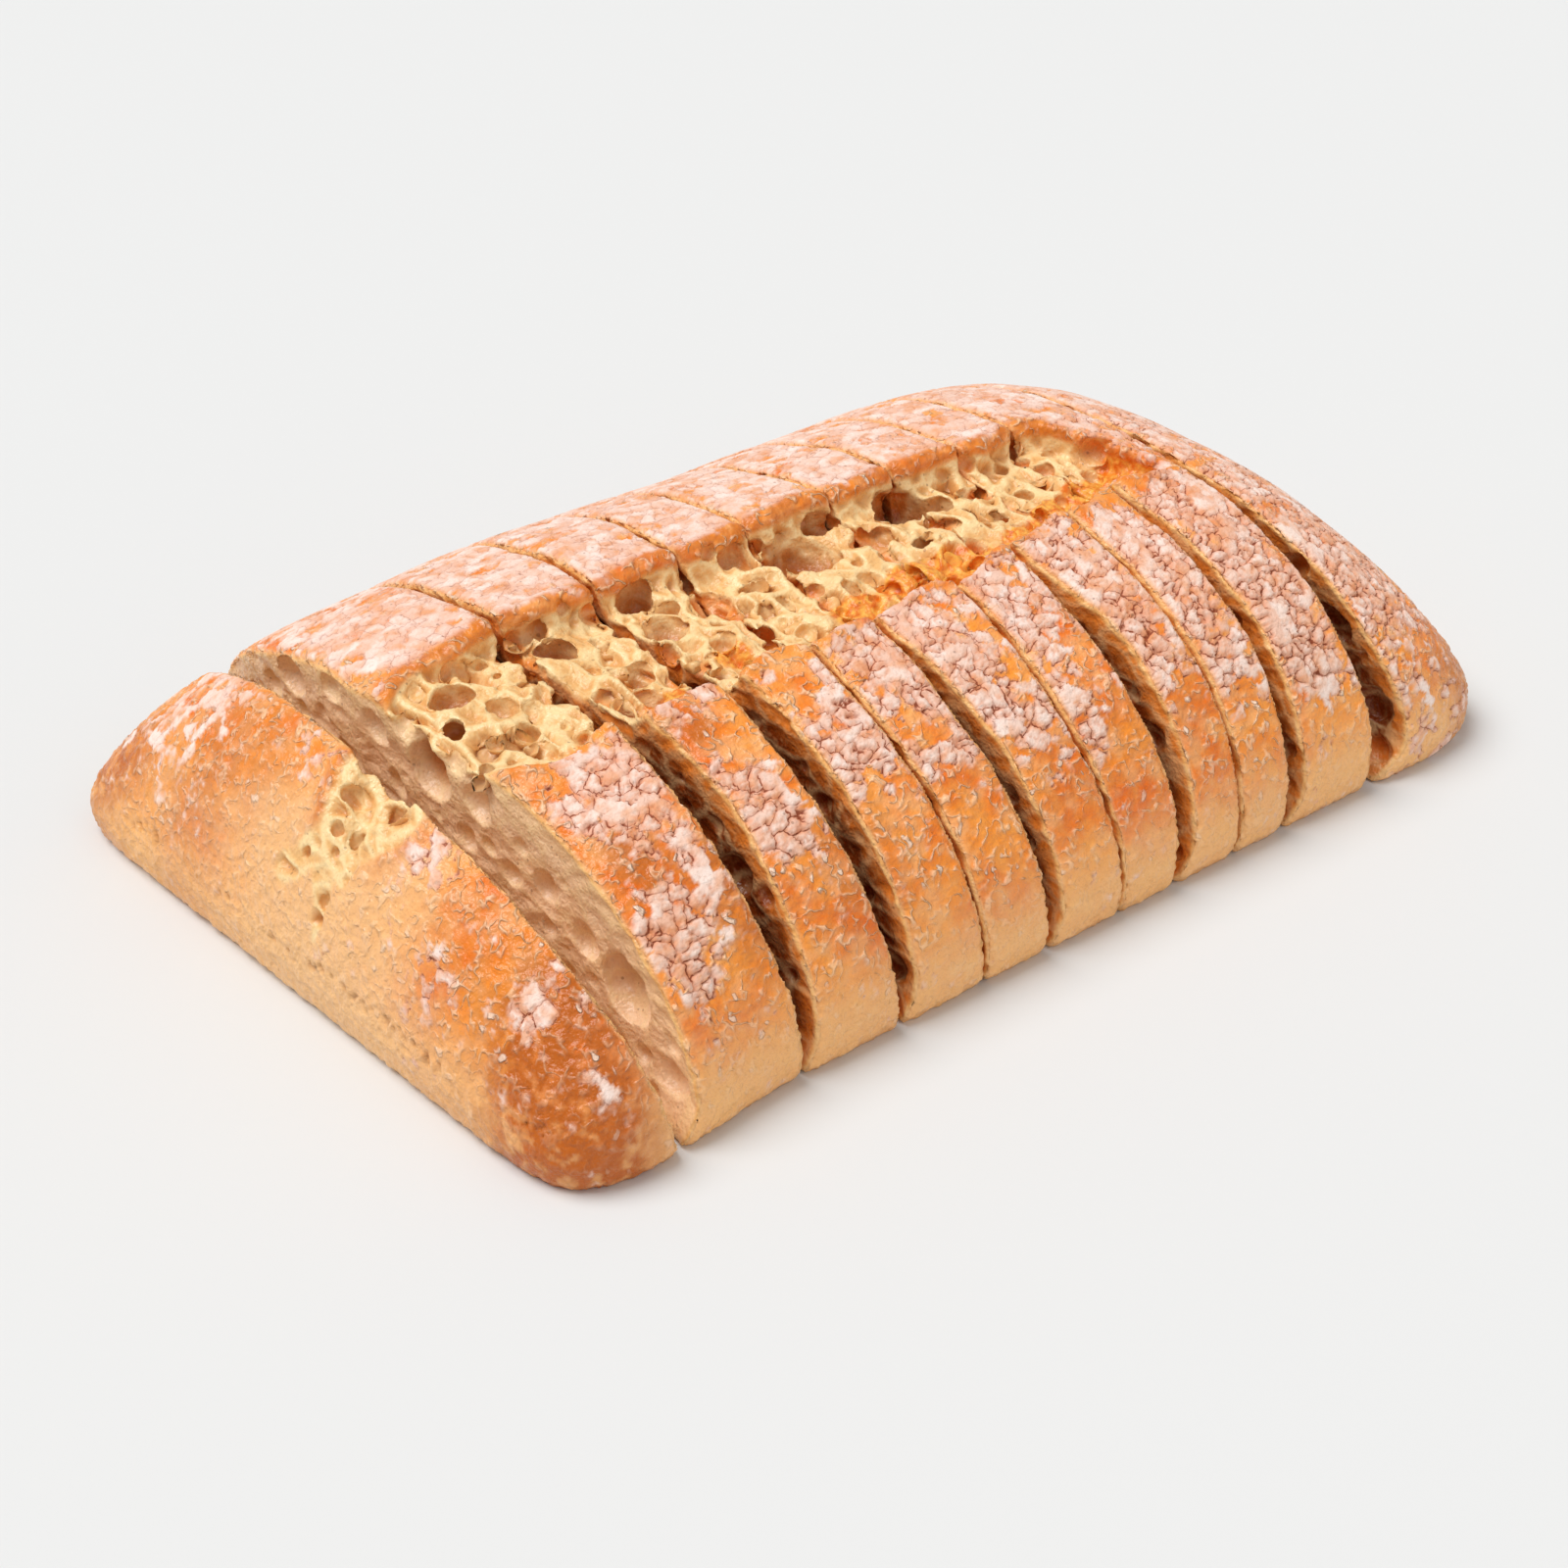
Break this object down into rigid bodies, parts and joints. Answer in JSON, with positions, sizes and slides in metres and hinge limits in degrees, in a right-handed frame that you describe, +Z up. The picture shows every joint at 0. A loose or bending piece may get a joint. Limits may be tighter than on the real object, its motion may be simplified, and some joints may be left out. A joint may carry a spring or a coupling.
{
  "type": "sliced ciabatta loaf",
  "caption": "Rustic flat Italian white loaf, floured and scored along its top, cut into slices that still stand together as the whole loaf.",
  "frame": {"origin": "centre of the loaf's box, on the surface that the loaf lies on", "axes": "+X along the loaf to its right heel, -Y to the side that the knife gaps open to, +Z up"},
  "size_m": [0.2614, 0.167, 0.0567],
  "materials": {
    "crust": "baked golden crust dusted with pale flour, open cream crumb on the cut faces, matt"
  },
  "bodies": {
    "root": {"heel_left": "crust", "slice_01": "crust", "slice_02": "crust", "slice_03": "crust", "slice_04": "crust", "slice_05": "crust", "slice_06": "crust", "slice_07": "crust", "slice_08": "crust", "slice_09": "crust", "heel_right": "crust"}
  },
  "joints": []
}
